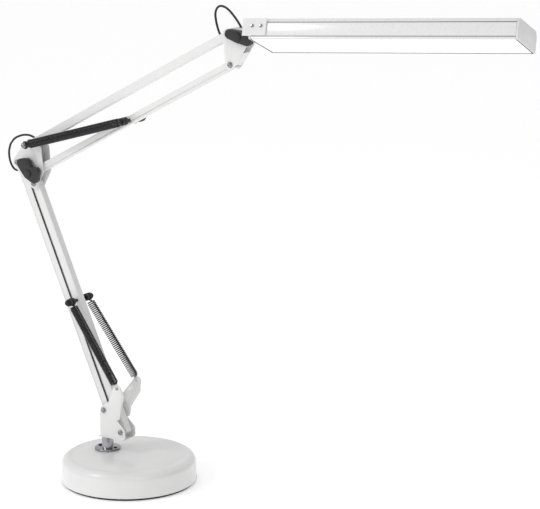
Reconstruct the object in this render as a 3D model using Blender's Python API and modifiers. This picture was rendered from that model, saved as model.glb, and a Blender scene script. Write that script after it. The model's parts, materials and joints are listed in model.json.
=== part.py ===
"""A swing arm desk lamp: weighted base, two parallelogram arms with balance springs, long flat LED head.

The arms swing in the XZ plane, with the head towards +X. +Y is the direction of every arm pivot.
The origin is the centre of the base's underside. Lengths are in metres.
"""

from math import cos, pi, radians, sin

import bmesh
import bpy
from mathutils import Matrix, Vector

GAP = 0.0003

# Base
BASE_R = 0.100
BASE_H = 0.042
SHOULDER_R = 0.0115
COVER_WALL = 0.0016
PAD_H = 0.0022
PAD_R = 0.0965
WEIGHT_H = 0.020
POST_X = -0.0385
FLANGE_R = 0.0195
FLANGE_H = 0.0030
SLEEVE_R = 0.0088
SPINDLE_R = 0.0040

# Sheet brackets
SHEET = 0.0015
PLATE_IN = 0.0120
PLATE_OUT = PLATE_IN + SHEET
NARROW_IN = 0.0085
NARROW_OUT = NARROW_IN + SHEET
WEB_Z = 0.0632
HORN_TIP = Vector((-0.0010, 0.0250, 0.1465))
HORN_CLEAR = 0.0064

# Arms
TUBE = 0.0120
TUBE_WALL = 0.0012
LOWER_LENGTH = 0.388
UPPER_LENGTH = 0.392
LOWER_LEAN = radians(-23.3)
UPPER_LEAN = radians(62.35)
PIN_R = 0.0022
BUSH_R = 0.0037
HEAD_R = 0.0042
HEAD_T = 0.0032

# Springs
COIL_R = 0.0065
WIRE_R = 0.0009
SPOOL_Y = 0.0205
SPOOL_LENGTH = 0.0130
SPOOL_R = 0.0056
SPOOL_WAIST = 0.0040
SPRING_PIN_Y = 0.0285
COLLAR_LENGTH = 0.0070
COLLAR_R = 0.0045
ELBOW_PIN_Y = 0.0245
LOWER_PIN_AT = 0.205
UPPER_PIN_AT = 0.196

# Knobs
KNOB_HUB_R = 0.0082
KNOB_BACK = -0.0145
KNOB_FRONT = -0.0225
BOLT_END = 0.0130

# Cables
CABLE_R = 0.0016

# Head
HEAD_YAW = radians(8.0)
HEAD_PITCH = radians(2.6)
HEAD_ROLL = radians(20.0)
HEAD_REACH = 0.0230
HEAD_LENGTH = 0.376
HEAD_WIDTH = 0.080
HEAD_THICK = 0.029
HEAD_WALL = 0.0016
CAP_T = 0.0030
STEM_R = 0.0045


def along(lean, length):
    """The vector of this length, tipped from +Z towards +X by lean."""
    return Vector((sin(lean) * length, 0, cos(lean) * length))


# Pivot axes, as points of the XZ plane
LOWER_REAR = Vector((-0.0350, 0, 0.1050))
LOWER_FRONT = Vector((-0.0050, 0, 0.0755))
ELBOW_REAR = LOWER_REAR + along(LOWER_LEAN, LOWER_LENGTH)
ELBOW_FRONT = LOWER_FRONT + along(LOWER_LEAN, LOWER_LENGTH)
ELBOW_TOP = ELBOW_REAR + Vector((0.0245, 0, 0.0292))
ELBOW_LOW = ELBOW_REAR + Vector((0.0287, 0, -0.0124))
HEAD_TOP = ELBOW_TOP + along(UPPER_LEAN, UPPER_LENGTH)
HEAD_LOW = ELBOW_LOW + along(UPPER_LEAN, UPPER_LENGTH)
TILT = HEAD_TOP + Vector((0.0238, 0, -0.0010))
LOWER_SPRING_PIN = LOWER_FRONT + along(LOWER_LEAN, LOWER_PIN_AT)
UPPER_SPRING_PIN = ELBOW_LOW + along(UPPER_LEAN, UPPER_PIN_AT)

# Routes of the two leads, each from inside a tube to inside a bracket
ELBOW_CABLE = (
    (-0.1852, 0.0000, 0.4514), (-0.1898, 0.0000, 0.4494), (-0.1945, 0.0000, 0.4476), (-0.2005, 0.0000, 0.4480),
    (-0.2063, 0.0000, 0.4535), (-0.2102, 0.0000, 0.4630), (-0.2110, 0.0000, 0.4745), (-0.2080, 0.0000, 0.4855),
    (-0.2005, 0.0000, 0.4940), (-0.1910, 0.0000, 0.4990), (-0.1815, 0.0000, 0.5015), (-0.1725, 0.0000, 0.5018),
    (-0.1650, 0.0000, 0.5000), (-0.1618, 0.0000, 0.4985), (-0.1592, 0.0000, 0.4967),
)
HEAD_CABLE = (
    (0.1679, 0.0000, 0.6650), (0.1656, 0.0000, 0.6694), (0.1632, 0.0000, 0.6742), (0.1603, 0.0000, 0.6818),
    (0.1582, 0.0000, 0.6905), (0.1575, 0.0000, 0.6990), (0.1600, 0.0000, 0.7060), (0.1655, 0.0000, 0.7095),
    (0.1730, 0.0000, 0.7085), (0.1805, 0.0000, 0.7040), (0.1880, 0.0000, 0.6968), (0.1945, 0.0000, 0.6892),
    (0.1990, 0.0000, 0.6825), (0.1985, 0.0000, 0.6775),
)

parts = bpy.data.collections.new("swing_arm_desk_lamp")
cutters = bpy.data.collections.new("cutters")


def clear_scene():
    for obj in list(bpy.data.objects):
        bpy.data.objects.remove(obj, do_unlink=True)
    for collection in (parts, cutters):
        bpy.context.scene.collection.children.link(collection)
    cutters.hide_render = True


def make_material(name, colour, roughness, metallic):
    material = bpy.data.materials.new(name)
    material.use_nodes = True
    shader = material.node_tree.nodes["Principled BSDF"]
    shader.inputs["Base Color"].default_value = (*colour, 1)
    shader.inputs["Roughness"].default_value = roughness
    shader.inputs["Metallic"].default_value = metallic
    return material


WHITE = make_material("white_paint", (0.86, 0.86, 0.86), 0.35, 0)
CHROME = make_material("chrome", (0.80, 0.80, 0.82), 0.12, 1)
SPRING_STEEL = make_material("spring_steel", (0.18, 0.18, 0.19), 0.35, 1)
BLACK = make_material("black_plastic", (0.03, 0.03, 0.03), 0.45, 0)
CABLE = make_material("black_cable", (0.02, 0.02, 0.02), 0.55, 0)
IRON = make_material("cast_iron", (0.12, 0.12, 0.12), 0.7, 0.8)
PAD = make_material("base_pad", (0.05, 0.05, 0.05), 0.9, 0)
BUSHING = make_material("bush_plastic", (0.75, 0.74, 0.70), 0.5, 0)
GREY = make_material("grey_plastic", (0.62, 0.63, 0.64), 0.4, 0)
OPAL = make_material("opal_diffuser", (0.95, 0.95, 0.93), 0.45, 0)
BOARD = make_material("led_board", (0.80, 0.82, 0.80), 0.5, 0)


# Placing and joining


def pivot(name, place, rotation=(0, 0, 0)):
    """An empty on a joint's axis, which carries the pieces that turn with it."""
    empty = bpy.data.objects.new(name, None)
    parts.objects.link(empty)
    empty.empty_display_size = 0.02
    empty.location = place
    empty.rotation_euler = rotation
    return empty


def add(name, mesh, material, parent, place=(0, 0, 0), rotation=(0, 0, 0)):
    """A piece placed in the lamp's frame, carried by an unturned empty."""
    obj = bpy.data.objects.new(name, mesh)
    parts.objects.link(obj)
    mesh.materials.append(material)
    obj.location = Vector(place) - parent.location
    obj.rotation_euler = rotation
    obj.parent = parent
    if isinstance(mesh, bpy.types.Mesh):
        smooth(mesh)
    return obj


def add_turned(name, profile, material, parent, place=(0, 0, 0), rotation=(0, 0, 0), steps=24):
    """A piece turned about its own Z from points (radius, height) that run down its outer side."""
    obj = add(name, profile_mesh(name, profile), material, parent, place, rotation)
    screw(obj, steps)
    return obj


def screw(obj, steps):
    modifier = obj.modifiers.new("Screw", "SCREW")
    modifier.steps = steps
    modifier.render_steps = steps
    modifier.use_merge_vertices = True
    modifier.merge_threshold = 0.00005
    modifier.use_smooth_shade = True


def smooth(mesh):
    if mesh.polygons:
        mesh.shade_smooth()
        mesh.set_sharp_from_angle(angle=radians(35))


def combine(target, mesh, operation, place=(0, 0, 0), rotation=(0, 0, 0)):
    """Cuts this mesh from the target, or joins it on. The mesh is in the target's own frame."""
    other = bpy.data.objects.new(f"{target.name}_{operation.lower()}", mesh)
    cutters.objects.link(other)
    other.hide_render = True
    other.display_type = "WIRE"
    other.parent = target
    other.location = place
    other.rotation_euler = rotation
    modifier = target.modifiers.new(operation.capitalize(), "BOOLEAN")
    modifier.operation = operation
    modifier.object = other
    return other


def cut(target, mesh, **where):
    return combine(target, mesh, "DIFFERENCE", **where)


def join(target, mesh, **where):
    return combine(target, mesh, "UNION", **where)


# Shapes


def as_mesh(name, form):
    mesh = bpy.data.meshes.new(name)
    form.to_mesh(mesh)
    form.free()
    return mesh


def box(name, low, high):
    low, high = Vector(low), Vector(high)
    size = high - low
    matrix = Matrix.Translation((low + high) / 2) @ Matrix.Diagonal((*size, 1))
    form = bmesh.new()
    bmesh.ops.create_cube(form, size=1, matrix=matrix)
    return as_mesh(name, form)


AXES = {
    "X": Matrix.Rotation(pi / 2, 4, "Y"),
    "Y": Matrix.Rotation(-pi / 2, 4, "X"),
    "Z": Matrix.Identity(4),
}


def rod(name, radius, start, end, axis="Y", centre=(0, 0, 0), sides=16, end_radius=None):
    """A cylinder or cone that runs from start to end along an axis through centre."""
    matrix = Matrix.Translation(centre) @ AXES[axis] @ Matrix.Translation((0, 0, (start + end) / 2))
    form = bmesh.new()
    bmesh.ops.create_cone(
        form, cap_ends=True, segments=sides, radius1=radius, matrix=matrix,
        radius2=radius if end_radius is None else end_radius, depth=end - start,
    )
    return as_mesh(name, form)


def hull(name, points):
    """The convex solid around these points."""
    form = bmesh.new()
    for point in points:
        form.verts.new(point)
    found = bmesh.ops.convex_hull(form, input=form.verts)
    spare = [v for v in found["geom_interior"] + found["geom_unused"] if isinstance(v, bmesh.types.BMVert)]
    bmesh.ops.delete(form, geom=list(set(spare)), context="VERTS")
    bmesh.ops.dissolve_limit(form, angle_limit=radians(0.5), verts=form.verts, edges=form.edges)
    bmesh.ops.recalc_face_normals(form, faces=form.faces)
    return as_mesh(name, form)


def disc_points(x, z, radius, low_y, high_y, count=16):
    """Two rings of points around an axis along Y, for a hull."""
    turns = [2 * pi * (i + 0.5) / count for i in range(count)]
    return [(x + radius * cos(t), y, z + radius * sin(t)) for y in (low_y, high_y) for t in turns]


def rounded_plate(name, discs, low_y, high_y, count=16):
    """A plate in the XZ plane, as the hull of some discs (x, z, radius)."""
    points = []
    for x, z, radius in discs:
        points += disc_points(x, z, radius, low_y, high_y, count)
    return hull(name, points)


def profile_mesh(name, profile):
    """The edges of a turned profile, closed into a ring where it doesn't start on the axis."""
    form = bmesh.new()
    verts = [form.verts.new((radius, 0, height)) for radius, height in profile]
    for a, b in zip(verts, verts[1:]):
        form.edges.new((a, b))
    if profile[0][0] > 0:
        form.edges.new((verts[-1], verts[0]))
    return as_mesh(name, form)


def smooth_route(points, steps):
    """A Catmull-Rom curve through the points, with this many steps between two of them."""
    points = [Vector(p) for p in points]
    ends = [2 * points[0] - points[1], *points, 2 * points[-1] - points[-2]]
    route = []
    for a, b, c, d in zip(ends, ends[1:], ends[2:], ends[3:]):
        for i in range(steps):
            t = i / steps
            route.append(
                0.5 * (2 * b + (c - a) * t + (2 * a - 5 * b + 4 * c - d) * t**2
                       + (3 * b - a - 3 * c + d) * t**3)
            )
    route.append(points[-1])
    return route


def cable(name, points, parent, steps=2):
    """A round lead along a smooth route."""
    curve = bpy.data.curves.new(name, "CURVE")
    curve.dimensions = "3D"
    curve.bevel_depth = CABLE_R
    curve.bevel_resolution = 2
    curve.use_fill_caps = True
    route = smooth_route(points, steps)
    spline = curve.splines.new("POLY")
    spline.points.add(len(route) - 1)
    for point, place in zip(spline.points, route):
        point.co = (*place, 1)
    return add(name, curve, CABLE, parent)


# Base


def make_base():
    root = pivot("base_centre", (0, 0, 0))
    bend_x, bend_z = BASE_R - 0.0008 - SHOULDER_R, BASE_H - 0.0022 - SHOULDER_R
    outer = [(0, BASE_H), (0.065, BASE_H - 0.0003), (0.085, BASE_H - 0.0014)]
    shoulder = [
        (bend_x + SHOULDER_R * sin(radians(a)), bend_z + SHOULDER_R * cos(radians(a)))
        for a in range(10, 91, 16)
    ]
    side = [(BASE_R - 0.0004, 0.012), (BASE_R, 0.0035)]
    inner = [
        (BASE_R - COVER_WALL, 0.0035), (0.0970, BASE_H - 0.0110), (0.0925, BASE_H - 0.0050),
        (0.0840, BASE_H - 0.0032), (0, BASE_H - 0.0020),
    ]
    add_turned("base_cover", outer + shoulder + side + inner, WHITE, root, steps=48)
    add("base_pad", rod("base_pad", PAD_R, 0, PAD_H, axis="Z", sides=48), PAD, root)
    weight = rod("base_weight", 0.0945, PAD_H + GAP, PAD_H + WEIGHT_H, axis="Z", sides=48)
    add("base_weight", weight, IRON, root)
    make_post_flange(root)


def make_post_flange(root):
    bottom = BASE_H + GAP
    top = WEB_Z - GAP
    bore = SPINDLE_R + 0.0005
    profile = [
        (bore, top), (SLEEVE_R - 0.0005, top), (SLEEVE_R, top - 0.0005),
        (SLEEVE_R, bottom + FLANGE_H + 0.0012), (SLEEVE_R + 0.0012, bottom + FLANGE_H),
        (FLANGE_R - 0.0012, bottom + FLANGE_H), (FLANGE_R, bottom + FLANGE_H - 0.0012),
        (FLANGE_R, bottom), (bore, bottom),
    ]
    flange = add_turned("post_flange", profile, CHROME, root, place=(POST_X, 0, 0), steps=32)
    for number, side in enumerate((-1, 1), 1):
        place = Vector((POST_X + side * 0.0141, 0, 0))
        hole = rod("hole", 0.0019, bottom - 0.001, bottom + FLANGE_H + 0.001, axis="Z", sides=12)
        cut(flange, hole, place=(side * 0.0141, 0, 0))
        screw_profile = [
            (0, bottom + FLANGE_H + 0.0016), (0.0020, bottom + FLANGE_H + 0.0013),
            (0.0030, bottom + FLANGE_H + GAP), (0.0016, bottom + FLANGE_H + GAP), (0.0016, bottom), (0, bottom),
        ]
        add_turned(f"flange_screw_{number}", screw_profile, BLACK, root, place=place, steps=12)


# Pivot pins, bushes and spools


def make_pin(name, place, parent, near=PLATE_OUT, far=PLATE_OUT, near_head=True):
    """A pin along Y with a domed head outside each plate."""
    dome = [(0, HEAD_T)] + [(HEAD_R * cos(radians(a)), HEAD_T * sin(radians(a))) for a in (60, 25)]
    far_side = [(r, far + GAP + h) for r, h in dome] + [(HEAD_R, far + GAP), (PIN_R, far + GAP)]
    near_side = [(r, -near - GAP - h) for r, h in reversed(dome)]
    near_side = [(PIN_R, -near - GAP), (HEAD_R, -near - GAP)] + near_side
    if not near_head:
        near_side = [(PIN_R, -near), (0, -near)]
    add_turned(name, far_side + near_side, CHROME, parent, place, (-pi / 2, 0, 0), steps=12)


def make_bush(name, place, parent, plate_in):
    """A plastic bush that fills the space between the plates and turns on its pin."""
    half = plate_in - GAP
    inner = PIN_R + GAP
    profile = [(inner, half), (BUSH_R, half), (BUSH_R, -half), (inner, -half)]
    add_turned(name, profile, BUSHING, parent, place, (-pi / 2, 0, 0), steps=12)


def make_spools(names, place, parent, length=SPOOL_LENGTH, radius=SPOOL_R):
    """The plastic spool at each end of a spring pin, with a waist that takes the spring's ring."""
    half = length / 2
    inner = PIN_R + GAP
    profile = [
        (inner, half), (radius, half), (radius, 0.0022), (SPOOL_WAIST, 0.0018),
        (SPOOL_WAIST, -0.0018), (radius, -0.0022), (radius, -half), (inner, -half),
    ]
    for name, side in zip(names, (-1, 1)):
        centre = place + Vector((0, side * SPOOL_Y, 0))
        add_turned(name, profile, BLACK, parent, centre, (-pi / 2, 0, 0), steps=14)


# Brackets


def pin_hole(place, radius=PIN_R + GAP):
    return rod("hole", radius, -0.04, 0.04, centre=place, sides=12)


def make_lower_bracket(body):
    """A sheet folded to a U, whose two plates rise to horns that flare out to the springs."""
    left, right = POST_X - 0.0068, 0.0
    web = box("web", (left, -PLATE_OUT, WEB_Z), (right, PLATE_OUT, WEB_Z + SHEET))
    bracket = add("lower_bracket", web, WHITE, body)
    a, b = LOWER_REAR, LOWER_FRONT
    low = [(a.x, a.z, 0.0068), (-0.0402, WEB_Z + 0.0016, 0.0016), (-0.0030, WEB_Z + 0.006, 0.006), (b.x, b.z, 0.0078)]
    high = [(a.x, a.z, 0.0068), (-0.0118, 0.0985, 0.006), (-0.0220, 0.1165, 0.0045), (-0.0085, 0.1110, 0.0045)]
    for side in (-1, 1):
        faces = sorted((side * PLATE_IN, side * PLATE_OUT))
        tip = sorted((side * HORN_TIP.y, side * (HORN_TIP.y + SHEET)))
        join(bracket, rounded_plate("plate", low, *faces))
        join(bracket, rounded_plate("plate_top", high, *faces))
        horn = []
        for x, z, radius in ((-0.0222, 0.1163, 0.0046), (-0.0083, 0.1108, 0.0046)):
            horn += disc_points(x, z, radius, *faces, count=12)
        horn += disc_points(HORN_TIP.x, HORN_TIP.z, 0.0060, *tip)
        bulge = [(0.37 * a + 0.63 * b) for a, b in zip(faces, tip)]
        horn += disc_points(HORN_TIP.x + 0.0020, HORN_TIP.z - 0.0125, 0.0065, *bulge)
        join(bracket, hull("horn", horn))
        cut(bracket, rod("hook_hole", 0.0016, 0.015, 0.04, centre=(HORN_TIP.x, 0, HORN_TIP.z), sides=12)
            if side > 0 else
            rod("hook_hole", 0.0016, -0.04, -0.015, centre=(HORN_TIP.x, 0, HORN_TIP.z), sides=12))
    for place in (a, b):
        cut(bracket, pin_hole(place))
    cut(bracket, rod("spindle_hole", SPINDLE_R + GAP, 0, 0.1, axis="Z", centre=(POST_X, 0, 0), sides=24))
    spindle = [
        (0, WEB_Z + SHEET + GAP + 0.003), (0.0065, WEB_Z + SHEET + GAP + 0.003),
        (0.0070, WEB_Z + SHEET + GAP + 0.0025), (0.0070, WEB_Z + SHEET + GAP),
        (SPINDLE_R, WEB_Z + SHEET + GAP), (SPINDLE_R, BASE_H + 0.002), (0, BASE_H + 0.002),
    ]
    add_turned("post_spindle", spindle, CHROME, body, place=(POST_X, 0, 0), steps=24)
    make_pin("lower_rear_pin", a, body)
    make_pin("lower_front_pin", b, body)


def make_elbow(body):
    """Two plates joined by a web on the upper left, between the rear and the top pivot."""
    discs = [
        (ELBOW_REAR.x, ELBOW_REAR.z, 0.0080), (ELBOW_TOP.x, ELBOW_TOP.z, 0.0080),
        (ELBOW_TOP.x + 0.0165, ELBOW_TOP.z - 0.0055, 0.0045), (ELBOW_LOW.x + 0.0150, ELBOW_LOW.z + 0.0020, 0.0045),
        (ELBOW_FRONT.x, ELBOW_FRONT.z, 0.0070),
    ]
    direction = (ELBOW_TOP - ELBOW_REAR).normalized()
    normal = Vector((-direction.z, 0, direction.x))
    low = ELBOW_REAR + normal * 0.0080
    high = ELBOW_TOP + normal * 0.0080
    corners = [
        place - normal * back + Vector((0, side * NARROW_OUT, 0))
        for place in (low, high) for back in (0, SHEET) for side in (-1, 1)
    ]
    bracket = add("elbow_bracket", hull("elbow_web", corners), WHITE, body)
    for side in (-1, 1):
        join(bracket, rounded_plate("plate", discs, *sorted((side * NARROW_IN, side * NARROW_OUT))))
    for place in (ELBOW_REAR, ELBOW_FRONT, ELBOW_TOP, ELBOW_LOW):
        cut(bracket, pin_hole(place))
    make_pin("elbow_rear_pin", ELBOW_REAR, body, near=NARROW_OUT, far=NARROW_OUT)
    make_pin("elbow_front_pin", ELBOW_FRONT, body, near=NARROW_OUT, far=NARROW_OUT)
    make_pin("elbow_top_pin", ELBOW_TOP, body, near=ELBOW_PIN_Y, far=ELBOW_PIN_Y)
    make_pin("elbow_low_pin", ELBOW_LOW, body, near=BOLT_END, far=NARROW_OUT, near_head=False)
    make_spools(("elbow_spool_near", "elbow_spool_far"), ELBOW_TOP, body, COLLAR_LENGTH, COLLAR_R)


def make_head_bracket(body):
    """Two plates joined by a web under the tilt bolt."""
    discs = [
        (HEAD_TOP.x, HEAD_TOP.z, 0.0080), (HEAD_TOP.x + 0.014, HEAD_TOP.z + 0.0045, 0.0055),
        (TILT.x + 0.0050, TILT.z + 0.0080, 0.0035), (TILT.x + 0.0050, TILT.z - 0.0100, 0.0035),
        (HEAD_LOW.x, HEAD_LOW.z, 0.0075),
    ]
    top = Vector((TILT.x + 0.0082, 0, TILT.z - 0.0118))
    direction = (top - HEAD_LOW - Vector((0.0065, 0, -0.0038))).normalized()
    normal = Vector((direction.z, 0, -direction.x))
    low = HEAD_LOW + normal * 0.0075 + direction * 0.004
    high = low + direction * 0.0215
    corners = [
        place - normal * back + Vector((0, side * NARROW_OUT, 0))
        for place in (low, high) for back in (0, SHEET) for side in (-1, 1)
    ]
    bracket = add("head_bracket", hull("head_web", corners), WHITE, body)
    for side in (-1, 1):
        join(bracket, rounded_plate("plate", discs, *sorted((side * NARROW_IN, side * NARROW_OUT))))
    for place in (HEAD_TOP, HEAD_LOW, TILT):
        cut(bracket, pin_hole(place))
    make_pin("head_top_pin", HEAD_TOP, body, near=NARROW_OUT, far=NARROW_OUT)
    make_pin("head_low_pin", HEAD_LOW, body, near=NARROW_OUT, far=NARROW_OUT)
    make_pin("tilt_bolt", TILT, body, near=BOLT_END, far=NARROW_OUT, near_head=False)


# Arms


def make_tube(name, body, lean, length, lead_holes):
    """A square tube with rounded ends, drilled for a bush at each end, along its own +Z."""
    half = TUBE / 2
    outline = disc_points(0, 0, half, -half, half, 20) + disc_points(0, length, half, -half, half, 20)
    tube = add(name, hull(name, outline), WHITE, body, place=body.location, rotation=(0, lean, 0))
    bore = half - TUBE_WALL
    cut(tube, box("bore", (-bore, -bore, -0.02), (bore, bore, length + 0.02)))
    for height in (0, length):
        cut(tube, rod("hole", BUSH_R + GAP, -0.02, 0.02, centre=(0, 0, height), sides=16))
    for height in lead_holes:
        cut(tube, rod("lead_hole", CABLE_R + 0.0009, -0.010, -0.0045, axis="X", centre=(0, 0, height), sides=12))
    return tube


def make_arm(name, start, lean, length, plate_in, lead_holes=()):
    body = pivot(f"{name}_axis", start)
    tube = make_tube(name, body, lean, length, lead_holes)
    make_bush(f"{name}_bush_1", start, body, plate_in)
    make_bush(f"{name}_bush_2", start + along(lean, length), body, NARROW_IN)
    return body, tube


def make_spring_pin(name, body, tube, place, offset):
    """A pin across a tube, with a spool on each end for the springs."""
    cut(tube, rod("pin_hole", PIN_R + GAP, -0.02, 0.02, centre=(0, 0, offset), sides=12))
    make_pin(f"{name}_pin", place, body, near=SPRING_PIN_Y, far=SPRING_PIN_Y)
    make_spools((f"{name}_spool_near", f"{name}_spool_far"), place, body)


# Springs


def make_springs(name, start, end, start_y, ring_at_start):
    """A pair of coils from start, with a ring that hangs on the spool at end."""
    body = pivot(f"{name}_axis", start)
    end_body = pivot(f"{name}_end_axis", end)
    ring_r = SPOOL_WAIST + 0.0003 + WIRE_R
    for label, side in (("near", -1), ("far", 1)):
        low = start + Vector((0, side * start_y, 0))
        high = end + Vector((0, side * SPOOL_Y, 0))
        span = high - low
        length = span.length
        turn = span.to_track_quat("Z", "Y").to_euler()
        first = ring_r if ring_at_start else HORN_CLEAR
        taper = 0.0045 if ring_at_start else 0.0090
        last = length - ring_r - WIRE_R - GAP
        profile = [
            (0, last), (WIRE_R, last), (WIRE_R, last - 0.002), (COIL_R, last - 0.006),
            (COIL_R, first + taper), (WIRE_R, first + taper / 2), (WIRE_R, first), (0, first),
        ]
        coil = add_turned(f"{name}_{label}", profile, SPRING_STEEL, body, low, turn, steps=16)
        if ring_at_start:
            facing = (turn.to_matrix().inverted() @ Matrix.Rotation(-pi / 2, 3, "X")).to_euler()
            join(coil, ring("ring", ring_r), rotation=facing)
        ring_mesh = ring(f"{name}_ring_{label}", ring_r)
        add(f"{name}_ring_{label}", ring_mesh, SPRING_STEEL, end_body, high, (-pi / 2, 0, 0))


def ring(name, radius):
    """A wire ring about Z."""
    bpy.ops.mesh.primitive_torus_add(
        major_radius=radius, minor_radius=WIRE_R, major_segments=16, minor_segments=6,
    )
    helper = bpy.context.object
    mesh = helper.data
    mesh.name = name
    bpy.data.objects.remove(helper)
    return mesh


# Knobs


def make_knob(name, place, left, right):
    """A wing knob on the near side, whose two wings stand off the plate."""
    body = pivot(f"{name}_axis", place)
    hub = rod(name, KNOB_HUB_R, KNOB_BACK - 0.0020, -NARROW_OUT - GAP, sides=20)
    knob = add(name, hub, BLACK, body, place)
    wings = [left + [(0, 0, KNOB_HUB_R)], right + [(0, 0, KNOB_HUB_R)]]
    for discs in wings:
        join(knob, rounded_plate("wing", discs, KNOB_FRONT, KNOB_BACK, count=14))
    join(knob, rod("boss", 0.0056, KNOB_FRONT - 0.0014, KNOB_FRONT + 0.0010, sides=20))
    cut(knob, rod("bore", PIN_R + GAP, -BOLT_END - 0.0006, -0.0060, sides=12))


# Head


def make_knuckle(body):
    """The barrel that tilts on the bolt, and the stem that carries the head."""
    half = NARROW_IN - GAP
    knuckle = add("head_knuckle", rod("head_knuckle", 0.0072, -half, half, sides=20), BLACK, body, TILT)
    facing = (0, -HEAD_PITCH, HEAD_YAW)
    join(knuckle, rod("stem", STEM_R, 0, HEAD_REACH + 0.014, axis="X"), rotation=facing)
    flange = rod("flange", 0.0080, HEAD_REACH + 0.0100, HEAD_REACH + 0.0130, axis="X")
    join(knuckle, flange, rotation=facing)
    cut(knuckle, rod("bore", PIN_R + GAP, -0.02, 0.02, sides=12))


def head_piece(name, mesh, material, body):
    """A piece modelled in the head's own frame: +X along the head, +Z out of its back."""
    obj = bpy.data.objects.new(name, mesh)
    parts.objects.link(obj)
    mesh.materials.append(material)
    obj.parent = body
    smooth(mesh)
    return obj


def make_head(body):
    half_w, half_t = HEAD_WIDTH / 2, HEAD_THICK / 2
    start, end = HEAD_REACH, HEAD_REACH + HEAD_LENGTH
    inner_start, inner_end = start + CAP_T + GAP, end - CAP_T - GAP
    make_housing(body, inner_start, inner_end, half_w, half_t)
    for name, low, hole in (("left_end_cap", start, True), ("right_end_cap", end - CAP_T, False)):
        outline = [
            (x, s * (half_w - inset_y), z)
            for x in (low, low + CAP_T) for s in (-1, 1)
            for inset_y, z in ((0, -half_t), (0, half_t - 0.006), (0.005, half_t))
        ]
        cap = head_piece(name, hull(name, outline), GREY, body)
        if hole:
            cut(cap, rod("stem_hole", STEM_R + 0.0006, 0, 0.05, axis="X"))
    light_w = half_w - 0.0040
    light = box(
        "diffuser", (inner_start + GAP, -light_w, -half_t), (inner_end - GAP, light_w, -half_t + 0.002),
    )
    head_piece("diffuser", light, OPAL, body)
    board = box(
        "led_board", (inner_start + 0.02, -0.026, half_t - 0.0070), (inner_end - 0.004, 0.026, half_t - 0.0054),
    )
    head_piece("led_board", board, BOARD, body)
    make_mount(body, start, half_w)


def make_housing(body, start, end, half_w, half_t):
    """An extruded channel, open towards the light, with chamfered back edges and a groove each side."""
    outer = [
        (x, s * (half_w - inset_y), z)
        for x in (start, end) for s in (-1, 1)
        for inset_y, z in ((0, -half_t), (0, half_t - 0.006), (0.005, half_t))
    ]
    housing = head_piece("head_housing", hull("head_housing", outer), WHITE, body)
    wall = HEAD_WALL
    hollow = [
        (x, s * (half_w - wall - inset_y), z)
        for x in (start - 0.01, end + 0.01) for s in (-1, 1)
        for inset_y, z in ((0, -half_t + 0.0026), (0, half_t - 0.0068), (0.0045, half_t - wall))
    ]
    cut(housing, hull("hollow", hollow))
    mouth = half_w - 0.0040 + GAP
    cut(housing, box("mouth", (start - 0.01, -mouth, -half_t - 0.01), (end + 0.01, mouth, -half_t + 0.004)))
    for side in (-1, 1):
        low, high = sorted((side * (half_w - 0.0006), side * (half_w + 0.01)))
        for height in (half_t - 0.0066, -half_t + 0.0034):
            cut(housing, box("groove", (start - 0.01, low, height), (end + 0.01, high, height + 0.0008)))


def make_mount(body, start, half_w):
    """A web of sheet across the head's end, with a side plate that is screwed to its near side."""
    near = -half_w - GAP
    low, high = -0.0105, 0.0135
    web = box("web", (start - GAP - SHEET, near - SHEET, low), (start - GAP, 0.012, high))
    mount = head_piece("head_mount", web, WHITE, body)
    join(mount, box("side_plate", (start - 0.0095, near - SHEET, low), (start + 0.0250, near, high)))
    cut(mount, rod("stem_hole", STEM_R + 0.0006, 0, 0.05, axis="X"))
    for number, x in enumerate((start + 0.0046, start + 0.0174), 1):
        cut(mount, rod("screw_hole", 0.0016, near - 0.004, near + 0.001, centre=(x, 0, 0.003), sides=12))
        profile = [
            (0, 0.0016), (0.0018, 0.0013), (0.0026, GAP), (0.0013, GAP), (0.0013, -SHEET - GAP), (0, -SHEET - GAP),
        ]
        obj = bpy.data.objects.new(f"mount_screw_{number}", profile_mesh("mount_screw", profile))
        parts.objects.link(obj)
        obj.data.materials.append(CHROME)
        obj.parent = body
        obj.location = (x, near - SHEET, 0.003)
        obj.rotation_euler = (pi / 2, 0, 0)
        screw(obj, 12)


# Cables


def make_cables(elbow, head_bracket):
    cable("elbow_cable", ELBOW_CABLE, elbow)
    cable("head_cable", HEAD_CABLE, head_bracket)


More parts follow.
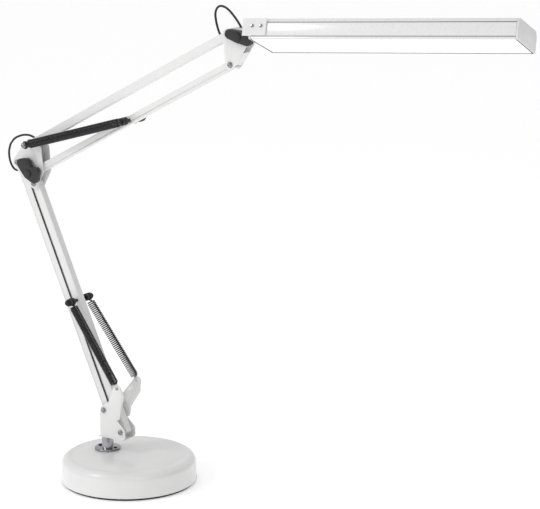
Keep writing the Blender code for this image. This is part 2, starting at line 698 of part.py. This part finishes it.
def main():
    clear_scene()
    make_base()
    make_lower_bracket(pivot("post_axis", (POST_X, 0, WEB_Z)))
    make_arm("lower_rear_tube", LOWER_REAR, LOWER_LEAN, LOWER_LENGTH, PLATE_IN, [LOWER_LENGTH - 0.0105])
    front, front_tube = make_arm("lower_front_tube", LOWER_FRONT, LOWER_LEAN, LOWER_LENGTH, PLATE_IN)
    make_spring_pin("lower_spring", front, front_tube, LOWER_SPRING_PIN, LOWER_PIN_AT)
    horn = Vector((HORN_TIP.x, 0, HORN_TIP.z))
    make_springs("lower_coil", horn, LOWER_SPRING_PIN, HORN_TIP.y + SHEET / 2, False)
    elbow = pivot("elbow_axis", ELBOW_REAR)
    make_elbow(elbow)
    make_knob(
        "elbow_knob", ELBOW_LOW, [(-0.0123, 0.0140, 0.0072), (-0.0040, 0.0152, 0.0066)],
        [(0.0126, 0.0036, 0.0064), (0.0108, -0.0066, 0.0072)],
    )
    leads = [0.0056, UPPER_LENGTH - 0.017]
    make_arm("upper_top_tube", ELBOW_TOP, UPPER_LEAN, UPPER_LENGTH, NARROW_IN, leads)
    low, low_tube = make_arm("upper_low_tube", ELBOW_LOW, UPPER_LEAN, UPPER_LENGTH, NARROW_IN)
    make_spring_pin("upper_spring", low, low_tube, UPPER_SPRING_PIN, UPPER_PIN_AT)
    make_springs("upper_coil", ELBOW_TOP, UPPER_SPRING_PIN, SPOOL_Y, True)
    head_bracket = pivot("head_bracket_axis", HEAD_TOP)
    make_head_bracket(head_bracket)
    make_knob("head_knob", TILT, [(-0.0132, 0.0034, 0.0068)], [(0.0150, -0.0052, 0.0065)])
    make_knuckle(pivot("tilt_axis", TILT))
    make_head(pivot("roll_axis", TILT, (-HEAD_ROLL, -HEAD_PITCH, HEAD_YAW)))
    make_cables(elbow, head_bracket)


main()
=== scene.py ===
"""The looks of the swing arm desk lamp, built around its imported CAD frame. Lengths are in metres."""

import json
from math import cos, pi, radians, sin

import bmesh
import bpy
from mathutils import Euler, Matrix, Vector


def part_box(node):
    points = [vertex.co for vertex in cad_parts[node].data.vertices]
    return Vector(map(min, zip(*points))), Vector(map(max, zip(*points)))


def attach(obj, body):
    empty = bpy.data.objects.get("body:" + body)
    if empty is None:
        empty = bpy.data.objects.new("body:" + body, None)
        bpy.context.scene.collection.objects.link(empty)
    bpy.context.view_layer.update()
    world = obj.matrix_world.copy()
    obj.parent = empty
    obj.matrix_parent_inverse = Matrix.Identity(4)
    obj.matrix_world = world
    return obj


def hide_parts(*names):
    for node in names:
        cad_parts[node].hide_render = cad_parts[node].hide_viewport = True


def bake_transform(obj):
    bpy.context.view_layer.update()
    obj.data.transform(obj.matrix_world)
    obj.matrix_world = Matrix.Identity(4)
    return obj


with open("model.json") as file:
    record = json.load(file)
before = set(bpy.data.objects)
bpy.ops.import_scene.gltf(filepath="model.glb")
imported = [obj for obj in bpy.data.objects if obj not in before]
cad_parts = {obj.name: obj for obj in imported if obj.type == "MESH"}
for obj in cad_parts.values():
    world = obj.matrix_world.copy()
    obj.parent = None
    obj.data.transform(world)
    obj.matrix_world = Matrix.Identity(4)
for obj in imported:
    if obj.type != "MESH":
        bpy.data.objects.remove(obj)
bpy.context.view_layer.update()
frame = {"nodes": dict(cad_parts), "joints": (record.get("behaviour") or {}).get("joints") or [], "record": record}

JOINTS = {joint["name"]: joint for joint in frame["joints"]}
NODE_SLOT = {sub["node"]: sub["material_slot"] for sub in frame["record"]["subparts"]}
NODE_BODY = {name: body for body, names in frame["record"]["behaviour"]["bodies"].items() for name in names}

# Sizes and angles, most of which repeat the CAD's. NECK and TAIL are the gaps between a ring and its coil
GAP = 0.0003
PIN_R = 0.0022
PIN_HEAD_T = 0.0032
SPOOL_Y = 0.0205
SPOOL_WAIST = 0.0040
HORN_Y = 0.02575
HORN_CLEAR = 0.0064
COIL_R = 0.0065
WIRE_R = 0.0009
RING_R = SPOOL_WAIST + 0.0002 + WIRE_R
NECK = 0.0018
TAIL = 0.0024
CABLE_R = 0.0016
TUBE_SIDE = 0.012
LOWER_LENGTH = 0.388
LOWER_LEAN = radians(-23.3)
UPPER_LEAN = radians(62.35)
HEAD_YAW = radians(8.0)
HEAD_PITCH = radians(2.6)
HEAD_ROLL = radians(20.0)
HEAD_REACH = 0.0230
HEAD_LENGTH = 0.376
HEAD_WIDTH = 0.080
HEAD_THICK = 0.029

# Routes of the two leads, as in the CAD
ELBOW_CABLE = (
    (-0.1852, 0, 0.4514), (-0.1898, 0, 0.4494), (-0.1945, 0, 0.4476), (-0.2005, 0, 0.4480),
    (-0.2063, 0, 0.4535), (-0.2102, 0, 0.4630), (-0.2110, 0, 0.4745), (-0.2080, 0, 0.4855),
    (-0.2005, 0, 0.4940), (-0.1910, 0, 0.4990), (-0.1815, 0, 0.5015), (-0.1725, 0, 0.5018),
    (-0.1650, 0, 0.5000), (-0.1618, 0, 0.4985), (-0.1592, 0, 0.4967),
)
HEAD_CABLE = (
    (0.1679, 0, 0.6650), (0.1656, 0, 0.6694), (0.1632, 0, 0.6742), (0.1603, 0, 0.6818),
    (0.1582, 0, 0.6905), (0.1575, 0, 0.6990), (0.1600, 0, 0.7060), (0.1655, 0, 0.7095),
    (0.1730, 0, 0.7085), (0.1805, 0, 0.7040), (0.1880, 0, 0.6968), (0.1945, 0, 0.6892),
    (0.1990, 0, 0.6825), (0.1985, 0, 0.6775),
)

# The point where the elbow lead's pieces meet, and a step from the head lead's foot
ELBOW_LEAD_CROWN = 7
HEAD_LEAD_BEND = Vector((0.0132, 0, 0.0176))


# Materials


def new_material(name, colour, roughness, metallic=0.0, **sockets):
    """A material with its node tree and its shader, whose further sockets are given by name."""
    material = bpy.data.materials.new(name)
    material.use_nodes = True
    shader = material.node_tree.nodes["Principled BSDF"]
    shader.inputs["Base Color"].default_value = (*colour, 1)
    shader.inputs["Roughness"].default_value = roughness
    shader.inputs["Metallic"].default_value = metallic
    for socket, value in sockets.items():
        shader.inputs[socket.replace("_", " ")].default_value = value
    return material, material.node_tree, shader


def node(tree, kind, **values):
    """A new shader node. Each value is one of its settings or one of its sockets."""
    made = tree.nodes.new(kind)
    for name, value in values.items():
        if hasattr(made, name):
            setattr(made, name, value)
        else:
            made.inputs[name.replace("_", " ")].default_value = value
    return made


def noise(tree, scale, detail):
    """Noise over the piece's own coordinates."""
    place = node(tree, "ShaderNodeTexCoord")
    texture = node(tree, "ShaderNodeTexNoise", Scale=scale, Detail=detail)
    tree.links.new(place.outputs["Object"], texture.inputs["Vector"])
    return texture


def vary_colour(tree, shader, texture, dark, light):
    """Lets the colour drift from dark to light over the middle of the noise's range."""
    ramp = node(tree, "ShaderNodeValToRGB")
    for element, position, colour in zip(ramp.color_ramp.elements, (0.3, 0.7), (dark, light)):
        element.position = position
        element.color = (*colour, 1)
    tree.links.new(texture.outputs["Fac"], ramp.inputs["Fac"])
    tree.links.new(ramp.outputs["Color"], shader.inputs["Base Color"])


def vary_roughness(tree, shader, texture, low, high):
    spread = node(tree, "ShaderNodeMapRange", To_Min=low, To_Max=high)
    tree.links.new(texture.outputs["Fac"], spread.inputs["Value"])
    tree.links.new(spread.outputs["Result"], shader.inputs["Roughness"])


def add_bump(tree, shader, texture, strength, distance):
    bump = node(tree, "ShaderNodeBump", Strength=strength, Distance=distance)
    tree.links.new(texture.outputs["Fac"], bump.inputs["Height"])
    tree.links.new(bump.outputs["Normal"], shader.inputs["Normal"])


def white_paint(name, dark, light, gloss):
    """Powder coat: an even white with the fine ripple that the cured film has."""
    material, tree, shader = new_material(name, light, gloss, Coat_Weight=0.5, Coat_Roughness=0.16)
    vary_colour(tree, shader, noise(tree, scale=35, detail=4), dark, light)
    vary_roughness(tree, shader, noise(tree, scale=260, detail=3), gloss - 0.05, gloss + 0.10)
    add_bump(tree, shader, noise(tree, scale=900, detail=2), strength=0.04, distance=0.0001)
    return material


def metal(name, colour, low, high):
    """Bare or plated metal, whose roughness lies between low and high."""
    material, tree, shader = new_material(name, colour, low, metallic=1.0)
    dark = tuple(c * 0.9 for c in colour)
    vary_colour(tree, shader, noise(tree, scale=60, detail=3), dark, colour)
    vary_roughness(tree, shader, noise(tree, scale=120, detail=4), low, high)
    add_bump(tree, shader, noise(tree, scale=480, detail=2), strength=0.05, distance=0.0001)
    return material


def plastic(name, dark, light, low, high, grain=900, strength=0.3):
    """Moulded plastic with a fine grain, whose roughness lies between low and high."""
    material, tree, shader = new_material(name, light, low)
    vary_colour(tree, shader, noise(tree, scale=90, detail=4), dark, light)
    vary_roughness(tree, shader, noise(tree, scale=400, detail=3), low, high)
    add_bump(tree, shader, noise(tree, scale=grain, detail=2), strength, distance=0.0002)
    return material


def opal(name):
    """The opal sheet, with a faint painted glow that makes it look brighter."""
    # The faint emission is a painted glow that brightens the sheet.
    material, tree, shader = new_material(
        name, (0.93, 0.93, 0.925), 0.35,
        Emission_Color=(1.0, 0.99, 0.97, 1), Emission_Strength=0.22,
        Subsurface_Weight=0.2, Subsurface_Radius=(0.004, 0.004, 0.004),
    )
    vary_roughness(tree, shader, noise(tree, scale=500, detail=3), 0.30, 0.42)
    add_bump(tree, shader, noise(tree, scale=1600, detail=2), strength=0.10, distance=0.0001)
    return material


SLOTS = {
    "white_paint": white_paint("white_paint", (0.78, 0.78, 0.775), (0.81, 0.81, 0.805), 0.30),
    "white_aluminium": white_paint("white_aluminium", (0.80, 0.80, 0.805), (0.82, 0.82, 0.82), 0.26),
    "chrome": metal("chrome", (0.36, 0.36, 0.375), 0.08, 0.18),
    "black_steel": metal("black_steel", (0.05, 0.05, 0.052), 0.25, 0.40),
    "spring_steel": metal("spring_steel", (0.06, 0.06, 0.063), 0.14, 0.24),
    "black_plastic": plastic("black_plastic", (0.012, 0.012, 0.013), (0.022, 0.022, 0.024), 0.34, 0.52),
    "black_cable": plastic("black_cable", (0.01, 0.01, 0.011), (0.016, 0.016, 0.017), 0.45, 0.6, 1400, 0.15),
    "cast_iron": metal("cast_iron", (0.12, 0.12, 0.12), 0.55, 0.75),
    "base_pad": plastic("base_pad", (0.02, 0.02, 0.02), (0.045, 0.045, 0.045), 0.8, 0.95, 500, 0.6),
    "bush_plastic": plastic("bush_plastic", (0.62, 0.61, 0.57), (0.70, 0.69, 0.65), 0.40, 0.52),
    "grey_plastic": plastic("grey_plastic", (0.74, 0.735, 0.74), (0.79, 0.785, 0.79), 0.34, 0.46, 1200, 0.15),
    "opal_diffuser": opal("opal_diffuser"),
    "led_board": metal("led_board", (0.80, 0.82, 0.80), 0.35, 0.50),
}


# Making pieces


def paint_frame():
    """Gives every CAD node the material of its slot."""
    for name, obj in frame["nodes"].items():
        obj.data.materials.clear()
        obj.data.materials.append(SLOTS[NODE_SLOT[name]])


def middle(name):
    """The middle of a CAD node's box."""
    low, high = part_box(name)
    return (low + high) / 2


def joint_at(name):
    return Vector(JOINTS[name]["pos_m"])


def at_y(point, y):
    return Vector((point.x, y, point.z))


def link(name, data):
    """A new object in the scene that holds this mesh or curve."""
    obj = bpy.data.objects.new(name, data)
    bpy.context.scene.collection.objects.link(obj)
    return obj


def link_form(name, form):
    """A new object made from a bmesh, which is freed."""
    mesh = bpy.data.meshes.new(name)
    form.to_mesh(mesh)
    form.free()
    return link(name, mesh)


def finish_piece(obj, name, sharp_from=35):
    """Shades a piece that stands for a CAD node, and gives it the node's slot."""
    obj.data.shade_smooth()
    obj.data.set_sharp_from_angle(angle=radians(sharp_from))
    obj.data.materials.clear()
    obj.data.materials.append(SLOTS[NODE_SLOT[name]])
    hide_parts(name)


def lathe(name, node_name, profile, centre, axis, steps):
    """A piece turned from (radius, height) points about the Y or Z axis through centre."""
    form = bmesh.new()
    rings = []
    for radius, height in profile:
        if radius <= 0:
            rings.append([form.verts.new((0, 0, height))])
            continue
        turns = [2 * pi * i / steps for i in range(steps)]
        rings.append([form.verts.new((radius * cos(t), radius * sin(t), height)) for t in turns])
    pairs = list(zip(rings, rings[1:]))
    if profile[0][0] > 0:
        pairs.append((rings[-1], rings[0]))
    for a, b in pairs:
        for i in range(steps):
            j = (i + 1) % steps
            corners = [a[i % len(a)], a[j % len(a)], b[j % len(b)], b[i % len(b)]]
            corners = list(dict.fromkeys(corners))
            if len(corners) > 2:
                form.faces.new(corners)
    bmesh.ops.recalc_face_normals(form, faces=form.faces)
    turn = Matrix.Rotation(-pi / 2, 4, "X") if axis == "Y" else Matrix.Identity(4)
    bmesh.ops.transform(form, matrix=Matrix.Translation(centre) @ turn, verts=form.verts)
    obj = link_form(name, form)
    finish_piece(obj, node_name)
    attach(obj, NODE_BODY[node_name])


def cad_form(name):
    """A CAD node's mesh with its seams closed and its flat faces whole."""
    form = bmesh.new()
    form.from_mesh(frame["nodes"][name].data)
    bmesh.ops.remove_doubles(form, verts=form.verts, dist=0.00002)
    bmesh.ops.dissolve_limit(form, angle_limit=radians(1), verts=form.verts, edges=form.edges)
    return form


def round_edges(name, chosen, width, segments, clamp):
    """The CAD node again, with the chosen ones of its outer edges rounded off."""
    form = cad_form(name)
    edges = [e for e in form.edges if len(e.link_faces) == 2 and e.is_convex and chosen(e)]
    bmesh.ops.bevel(
        form, geom=edges, offset=width, segments=segments, profile=0.5, affect="EDGES", clamp_overlap=clamp,
    )
    obj = link_form(f"{name}_skin", form)
    finish_piece(obj, name)
    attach(obj, NODE_BODY[name])


def soften(name, width, segments):
    """Rounds every outer edge that is sharp, apart from the very short ones."""
    sharp = radians(50)
    shortest = 0.0012

    def stands_out(edge):
        return edge.calc_face_angle(0) > sharp and edge.calc_length() > shortest

    round_edges(name, stands_out, width, segments, clamp=True)


def soften_tube(name, lean):
    """Rounds the four long corners of a square tube that leans by this angle."""
    along = Vector((sin(lean), 0, cos(lean)))
    shortest = 0.02

    def runs_along(edge):
        run = edge.verts[1].co - edge.verts[0].co
        return run.length > shortest and abs(run.normalized().dot(along)) > 0.99

    round_edges(name, runs_along, width=0.0011, segments=4, clamp=False)


# Base


def make_base():
    """The pressed cover: a slightly domed top, a shallow valley, a round shoulder and a wall, all hollow."""
    low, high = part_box("base_cover")
    radius, top = high.x, high.z
    # The top and the inside as (radius, fall from the top), and the wall as (inset, height)
    dome = ((0, 0), (0.030, 0.00004), (0.060, 0.0003), (0.072, 0.0010), (0.079, 0.0019))
    valley = ((0.0830, 0.0026), (0.0850, 0.0027), (0.0868, 0.0024))
    wall = ((0.0004, 0.0120), (0, 0.0045), (0.0003, 0.0036), (0.0010, low.z), (0.0016, low.z))
    inside = ((0.0970, 0.0110), (0.0925, 0.0050), (0.0840, 0.0032), (0, 0.0020))
    shoulder = 0.0115
    shoulder_inset = 0.0008
    shoulder_fall = 0.0022
    bend_x = radius - shoulder_inset - shoulder
    bend_z = top - shoulder_fall - shoulder
    turns = [radians(a) for a in range(4, 91, 6)]
    profile = [(r, top - fall) for r, fall in dome + valley]
    profile += [(bend_x + shoulder * sin(a), bend_z + shoulder * cos(a)) for a in turns]
    profile += [(radius - inset, height) for inset, height in wall]
    profile += [(r, top - fall) for r, fall in inside]
    lathe("base_shell", "base_cover", profile, (0, 0, 0), "Z", steps=160)


def make_post():
    """The post's flange: a disc with a rounded rim, and a sleeve that rises from it with a fillet."""
    low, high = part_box("post_flange")
    centre = (low + high) / 2
    disc = (high.x - low.x) / 2
    bore = 0.0045
    sleeve = 0.0088
    fillet = 0.0016
    rim = 0.0010
    disc_t = 0.0030
    # The sleeve's blunt upper edge as (inset, fall)
    edge = ((0.0008, 0), (0.0002, 0.0003), (0, 0.0009))
    face = low.z + disc_t
    profile = [(bore, high.z)]
    profile += [(sleeve - inset, high.z - fall) for inset, fall in edge]
    quarter = [radians(a) for a in (0, 30, 60, 90)]
    profile += [(sleeve + fillet * (1 - sin(a)), face + fillet * (1 - cos(a))) for a in reversed(quarter)]
    profile += [(disc - rim + rim * sin(a), face - rim + rim * cos(a)) for a in quarter]
    profile += [(disc, low.z), (bore, low.z)]
    lathe("flange_turned", "post_flange", profile, (centre.x, centre.y, 0), "Z", steps=96)


# Pins and spools

# A pin's domed head with its dimple and washer, as (radius, height) above the washer's underside
PIN_HEAD = (
    (0, 0.0022), (0.0007, 0.0023), (0.0011, 0.0030), (0.0017, 0.0032), (0.0025, 0.0029), (0.0031, 0.0022),
    (0.0033, 0.0012), (0.0033, 0.0008), (0.0041, 0.0007), (0.0042, 0.0004), (0.0042, 0),
)
HEADLESS_PINS = ("elbow_low_pin", "tilt_bolt")


def pin_profile(near, far, near_head):
    """A pin through plates with outer faces at near and far, headed at the far end and perhaps the near."""
    start = far + GAP
    profile = [(r, start + h) for r, h in PIN_HEAD] + [(PIN_R, start)]
    if not near_head:
        return profile + [(PIN_R, near), (PIN_R - 0.0004, near), (0, near)]
    start = near - GAP
    return profile + [(PIN_R, start)] + [(r, start - h) for r, h in reversed(PIN_HEAD)]


def make_pins():
    for name in frame["nodes"]:
        if not (name.endswith("_pin") or name == "tilt_bolt"):
            continue
        low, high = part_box(name)
        near_head = name not in HEADLESS_PINS
        near = low.y + PIN_HEAD_T + GAP if near_head else low.y
        far = high.y - PIN_HEAD_T - GAP
        profile = pin_profile(near, far, near_head)
        lathe(f"{name}_turned", name, profile, at_y(middle(name), 0), "Y", steps=40)


def make_spools():
    """Each spool is two flanges with a waist between them, in which a spring's loop lies."""
    for name in frame["nodes"]:
        if "_spool_" not in name:
            continue
        low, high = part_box(name)
        half = (high.y - low.y) / 2
        radius = (high.z - low.z) / 2
        blunt = 0.0008
        corner = 0.0002
        lip = [(radius - blunt, half), (radius - corner, half - corner), (radius, half - blunt)]
        groove = [(radius, 0.0026), (radius - 0.0003, 0.0021), (SPOOL_WAIST, 0.0014)]
        upper = [(PIN_R + GAP, half), *lip, *groove]
        profile = upper + [(r, -h) for r, h in reversed(upper)]
        lathe(f"{name}_turned", name, profile, (low + high) / 2, "Y", steps=48)


# Springs and leads


def smooth_route(points, steps):
    """A curve through all the points, with this many steps from each to the next."""
    points = [Vector(p) for p in points]
    ends = [2 * points[0] - points[1], *points, 2 * points[-1] - points[-2]]
    route = []
    for a, b, c, d in zip(ends, ends[1:], ends[2:], ends[3:]):
        for i in range(steps):
            t = i / steps
            bend = (2 * a - 5 * b + 4 * c - d) * t**2 + (3 * b - a - 3 * c + d) * t**3
            route.append(0.5 * (2 * b + (c - a) * t + bend))
    route.append(points[-1])
    return route


def tube_mesh(name, route, radius, roundness):
    """A closed round tube along a route, as a mesh. Its roundness is the curve's bevel resolution."""
    curve = bpy.data.curves.new(name, "CURVE")
    curve.dimensions = "3D"
    curve.bevel_depth = radius
    curve.bevel_resolution = roundness
    curve.use_fill_caps = True
    spline = curve.splines.new("POLY")
    spline.points.add(len(route) - 1)
    for point, place in zip(spline.points, route):
        point.co = (*place, 1)
    helper = link(f"{name}_curve", curve)
    bpy.context.view_layer.update()
    mesh = bpy.data.meshes.new_from_object(helper.evaluated_get(bpy.context.evaluated_depsgraph_get()))
    mesh.name = name
    bpy.data.objects.remove(helper)
    bpy.data.curves.remove(curve)
    form = bmesh.new()
    form.from_mesh(mesh)
    bmesh.ops.remove_doubles(form, verts=form.verts, dist=0.000002)
    form.to_mesh(mesh)
    form.free()
    return mesh


def loop(centre, along, across, radius, joint):
    """The wire from the coil's end out to a loop around the pin at centre."""
    first_turn = 10
    sweep = 300
    steps = 12
    points = [joint.lerp(centre + along * (radius + WIRE_R), 0.6)]
    for i in range(steps + 1):
        angle = radians(first_turn + sweep * i / steps)
        points.append(centre + along * (radius * cos(angle)) + across * (radius * sin(angle)))
    return points


def coil_route(start, end, first, last, turns, start_loop, end_loop):
    """A close wound coil between two pins, whose wire ends in a hook or a loop around each.

    Both ends of the coil start at a narrow share of its radius and grow to all of it.
    """
    steps = 18
    growing_turns = 0.75
    narrow = 0.35
    along = (end - start).normalized()
    side = Vector((0, 1, 0))
    side = (side - along * side.dot(along)).normalized()
    across = along.cross(side)
    route = []
    for i in range(int(turns * steps) + 1):
        turn = i / steps
        angle = 2 * pi * turn
        ease = min(1, turn / growing_turns, (turns - turn) / growing_turns)
        r = (COIL_R - WIRE_R) * (narrow + (1 - narrow) * ease)
        middle_line = start + along * (first + (last - first) * turn / turns)
        route.append(middle_line + across * (r * cos(angle)) + side * (r * sin(angle)))
    head = loop(start, along, across, start_loop, route[0])
    tail = loop(end, -along, across, end_loop, route[-1])
    return [*reversed(head), *route, *tail]


def make_coil(name, start, end, first, start_loop, pitch):
    """A wound spring in place of the CAD's plain coil and its end ring, from start to end."""
    last = (end - start).length - RING_R - TAIL
    turns = round((last - first) / pitch) + 0.5
    route = coil_route(start, end, first, last, turns, start_loop, RING_R)
    obj = link(f"{name}_wound", tube_mesh(f"{name}_wound", route, WIRE_R, roundness=2))
    finish_piece(obj, name, sharp_from=60)
    kind, label = name.rsplit("_", 1)
    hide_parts(f"{kind}_ring_{label}")
    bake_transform(obj)


def make_springs():
    """The lower coils hook into the horns and the upper ones loop round the elbow's spools."""
    hook_r = 0.0024
    near_pitch, far_pitch, upper_pitch = 0.0022, 0.0029, 0.0024
    hook, elbow_top = joint_at("lower_spring_swing"), joint_at("upper_arm_swing")
    lower_pin, upper_pin = middle("lower_spring_pin"), middle("upper_spring_pin")
    for label, side, lower_pitch in (("near", -1, near_pitch), ("far", 1, far_pitch)):
        horn_y, spool_y = side * HORN_Y, side * SPOOL_Y
        make_coil(
            f"lower_coil_{label}", at_y(hook, horn_y), at_y(lower_pin, spool_y),
            HORN_CLEAR, hook_r, lower_pitch,
        )
        make_coil(
            f"upper_coil_{label}", at_y(elbow_top, spool_y), at_y(upper_pin, spool_y),
            RING_R + NECK, RING_R, upper_pitch,
        )


def make_leads():
    """The elbow lead is two pieces that meet at its crown."""
    elbow_low, elbow_high = ELBOW_CABLE[:ELBOW_LEAD_CROWN + 1], ELBOW_CABLE[ELBOW_LEAD_CROWN:]
    foot = Vector(HEAD_CABLE[0])
    leads = (
        ("elbow_cable", "elbow_lead_low", elbow_low, "lower_rear", "elbow", elbow_low[1], elbow_low[-2]),
        ("elbow_cable", "elbow_lead_high", elbow_high, "elbow", "upper_top", elbow_high[1], elbow_high[-2]),
        ("head_cable", "head_lead", HEAD_CABLE, "upper_top", "head_bracket", foot, foot + HEAD_LEAD_BEND),
    )
    for node_name, name, points, body, end_body, start, end in leads:
        obj = link(name, tube_mesh(name, smooth_route(points, steps=6), CABLE_R, roundness=5))
        finish_piece(obj, node_name, sharp_from=60)
        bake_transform(obj)


# Thin dark strips: painted shade on the head, and a dark strip along the lower arm's gap


def strip(name, low, high, edge, slot, body, place):
    """A thin bar with rounded edges, between two opposite corners of its box."""
    low, high = Vector(low), Vector(high)
    form = bmesh.new()
    bmesh.ops.create_cube(form, size=1)
    bmesh.ops.scale(form, vec=high - low, verts=form.verts)
    bmesh.ops.translate(form, vec=(low + high) / 2, verts=form.verts)
    bmesh.ops.bevel(form, geom=form.edges[:], offset=edge, segments=2, profile=0.5, affect="EDGES")
    bmesh.ops.transform(form, matrix=place, verts=form.verts)
    obj = link_form(name, form)
    obj.data.shade_smooth()
    obj.data.materials.append(SLOTS[slot])
    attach(obj, body)


def make_head_painted_shade():
    """Black strips of painted shade in the grooves along the housing's sides, and a black rim of painted shade
    round the diffuser, where the housing's lip is in shade.
    """
    place = Matrix.Translation(joint_at("head_tilt"))
    place = place @ Euler((-HEAD_ROLL, -HEAD_PITCH, HEAD_YAW)).to_matrix().to_4x4()
    half_w, half_t = HEAD_WIDTH / 2, HEAD_THICK / 2
    edge = 0.0001
    inset = 0.0018
    start, end = HEAD_REACH + inset, HEAD_REACH + HEAD_LENGTH - inset

    # Black strips in the side grooves: painted shade along the housing's sides
    painted_shade_line = 0.0008
    painted_shade_top = half_t - 0.0066
    painted_shade_low = -half_t + 0.0034
    deep, shallow = half_w - 0.0006, half_w - 0.0001
    for label, side in (("near", -1), ("far", 1)):
        for level, height in (("top", painted_shade_top), ("low", painted_shade_low)):
            y = sorted((side * deep, side * shallow))
            low, high = (start, y[0], height), (end, y[1], height + painted_shade_line)
            strip(f"seam_{level}_{label}", low, high, edge, "black_plastic", "head", place)

    # A black rim round the diffuser: painted shade for the shaded inside of the housing's lip
    painted_shade_rim = 0.0012
    proud = 0.0004
    outer = half_w - 0.0022
    inner = outer - painted_shade_rim
    short = inner - 0.0002
    for label, x, y in (
        ("far", (start, end), (inner, outer)),
        ("left", (start, start + painted_shade_rim), (-outer, short)),
        ("right", (end - painted_shade_rim, end), (-outer, short)),
    ):
        low, high = (x[0], y[0], -half_t - proud), (x[1], y[1], -half_t)
        strip(f"gasket_{label}", low, high, edge, "black_plastic", "head", place)


def make_arm_gap_dark_strip():
    """A flat black strip down the front of the rear lower tube, along its near edge, which darkens the gap between
    the two lower tubes.
    """
    place = Matrix.Translation(joint_at("lower_arm_swing")) @ Matrix.Rotation(LOWER_LEAN, 4, "Y")
    face = TUBE_SIDE / 2
    width, thick = 0.0022, 0.0009
    bottom, top = 0.010, LOWER_LENGTH - 0.012
    low, high = (face, -face, bottom), (face + thick, width - face, top)
    # The black strip darkens the gap between the two lower tubes.
    strip("arm_gap_dark_strip", low, high, 0.0003, "black_cable", "lower_rear", place)


# Stage


def make_floor():
    form = bmesh.new()
    bmesh.ops.create_grid(form, x_segments=1, y_segments=1, size=30)
    floor = link_form("floor", form)
    material, _, _ = new_material(
        "floor_white", (0.93, 0.93, 0.93), 0.6, Emission_Color=(1, 1, 1, 1), Emission_Strength=0.30,
    )
    floor.data.materials.append(material)


def make_world():
    """White light from all round, apart from low on the right, where there is very little."""
    world = bpy.data.worlds.new("studio")
    world.use_nodes = True
    tree = world.node_tree
    background = tree.nodes["Background"]
    background.inputs["Color"].default_value = (1, 1, 1, 1)
    place = node(tree, "ShaderNodeTexCoord")
    parts = node(tree, "ShaderNodeSeparateXYZ")
    side = node(tree, "ShaderNodeMapRange", From_Min=0.45, From_Max=0.65, To_Min=1.0, To_Max=0.06)
    height = node(tree, "ShaderNodeMapRange", From_Min=0.30, From_Max=0.50, To_Min=0.0, To_Max=1.0)
    lit = node(tree, "ShaderNodeMath", operation="MAXIMUM")
    level = node(tree, "ShaderNodeMath", operation="MULTIPLY")
    level.inputs[1].default_value = 0.76
    for source, output, target, socket in (
        (place, "Generated", parts, "Vector"), (parts, "X", side, "Value"), (parts, "Z", height, "Value"),
        (side, "Result", lit, 0), (height, "Result", lit, 1), (lit, "Value", level, 0),
        (level, "Value", background, "Strength"),
    ):
        tree.links.new(source.outputs[output], target.inputs[socket])
    bpy.context.scene.world = world


def area_light(name, place, size, power):
    """A rectangular light that points at the middle of the lamp."""
    target = Vector((0.1, 0, 0.35))
    data = bpy.data.lights.new(name, "AREA")
    data.shape = "RECTANGLE"
    data.size, data.size_y = size
    data.energy = power
    light = link(name, data)
    light.location = place
    light.rotation_euler = (target - Vector(place)).to_track_quat("-Z", "Y").to_euler()


def make_lights():
    area_light("key", (-1.2, -1.7, 2.0), (0.6, 0.6), 13)
    area_light("fill", (2.1, -1.6, 1.3), (0.5, 0.8), 5)


def make_camera():
    data = bpy.data.cameras.new("camera")
    data.lens = 140.16
    data.sensor_width = 36
    data.clip_start, data.clip_end = 0.1, 100
    camera = link("camera", data)
    camera.location = (1.7486, -2.4144, 0.9955)
    camera.rotation_euler = (radians(77.6), 0, radians(31.9))
    bpy.context.scene.camera = camera


make_camera()
paint_frame()
make_base()
make_post()
make_pins()
make_spools()
make_springs()
make_leads()
make_head_painted_shade()
make_arm_gap_dark_strip()
for tube, lean in (
    ("lower_rear_tube", LOWER_LEAN), ("lower_front_tube", LOWER_LEAN),
    ("upper_top_tube", UPPER_LEAN), ("upper_low_tube", UPPER_LEAN),
):
    soften_tube(tube, lean)
for plate in ("lower_bracket", "elbow_bracket", "head_bracket", "head_mount"):
    soften(plate, width=0.00030, segments=2)
for knob in ("elbow_knob", "head_knob"):
    soften(knob, width=0.0011, segments=3)
soften("head_housing", width=0.00025, segments=2)
for closer in ("left_end_cap", "right_end_cap", "diffuser"):
    soften(closer, width=0.0003, segments=2)
make_floor()
make_world()
make_lights()
bpy.context.scene.view_settings.view_transform = "Standard"
